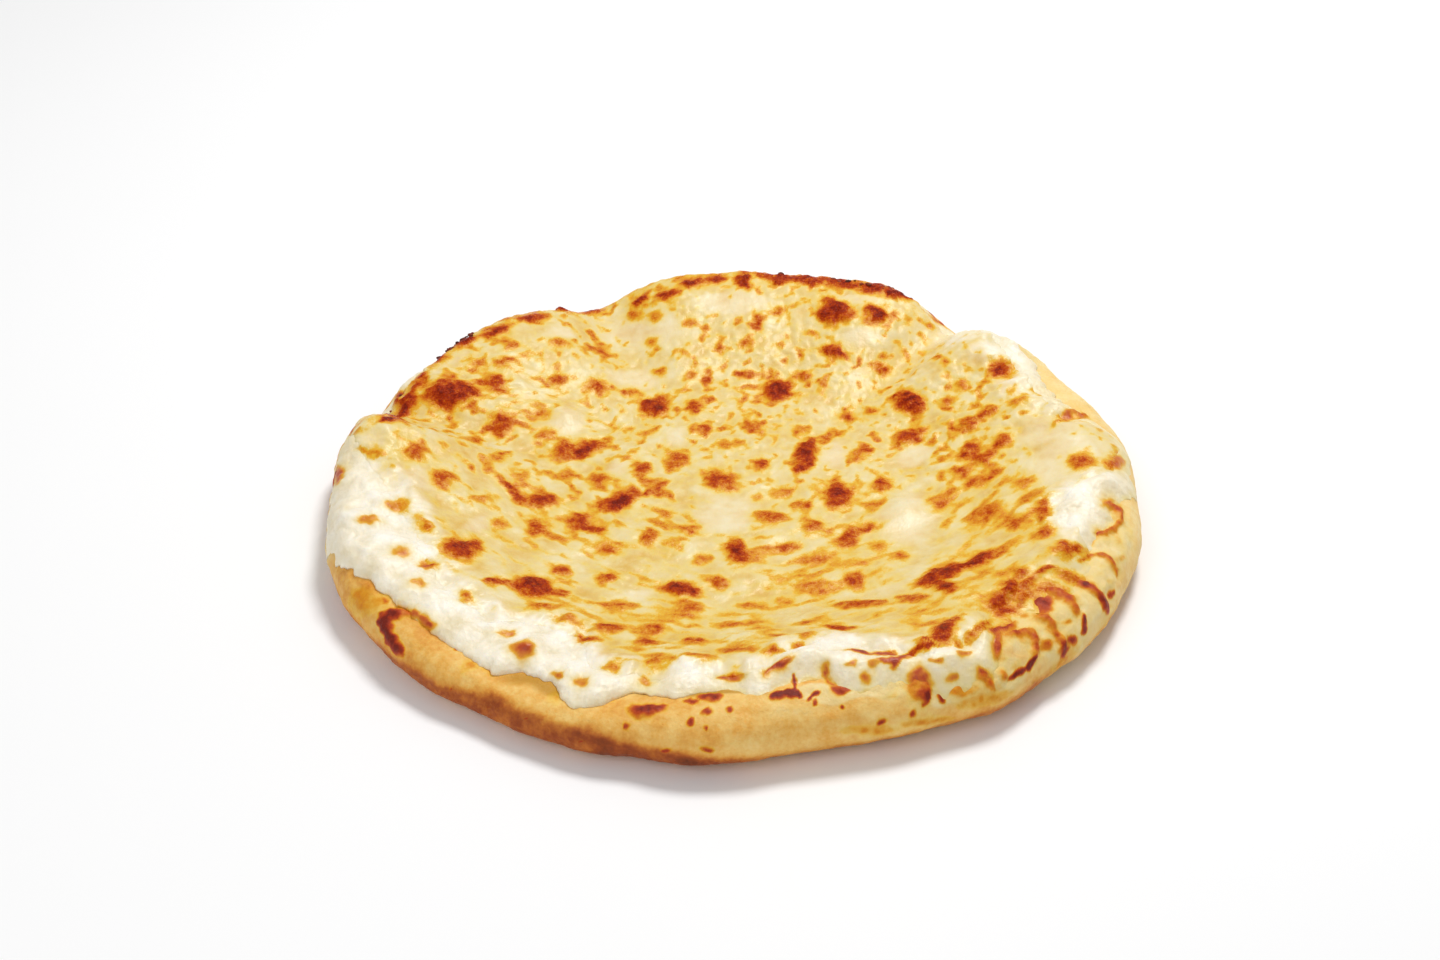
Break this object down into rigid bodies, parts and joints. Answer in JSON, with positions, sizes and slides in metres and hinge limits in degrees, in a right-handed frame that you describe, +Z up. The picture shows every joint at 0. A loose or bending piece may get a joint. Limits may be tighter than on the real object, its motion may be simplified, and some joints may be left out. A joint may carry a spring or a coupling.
{
  "type": "pizza",
  "caption": "Round white cheese pizza, uncut: a dished dough crust with a puffed golden rim, topped with ricotta and browned melted mozzarella.",
  "frame": {"origin": "on the flat underside, under the middle of the round outline", "axes": "+Z up out of the topping, -Y towards the side that the picture shows in front, +X to its right"},
  "size_m": [0.3026, 0.2978, 0.0312],
  "materials": {
    "crust": "baked dough, matt, golden with pale and brown patches",
    "ricotta": "soft moist curd, off-white",
    "mozzarella": "melted cheese, cream with browned glossy blisters"
  },
  "bodies": {
    "root": {"crust": "crust", "ricotta": "ricotta", "mozzarella": "mozzarella"}
  },
  "joints": []
}
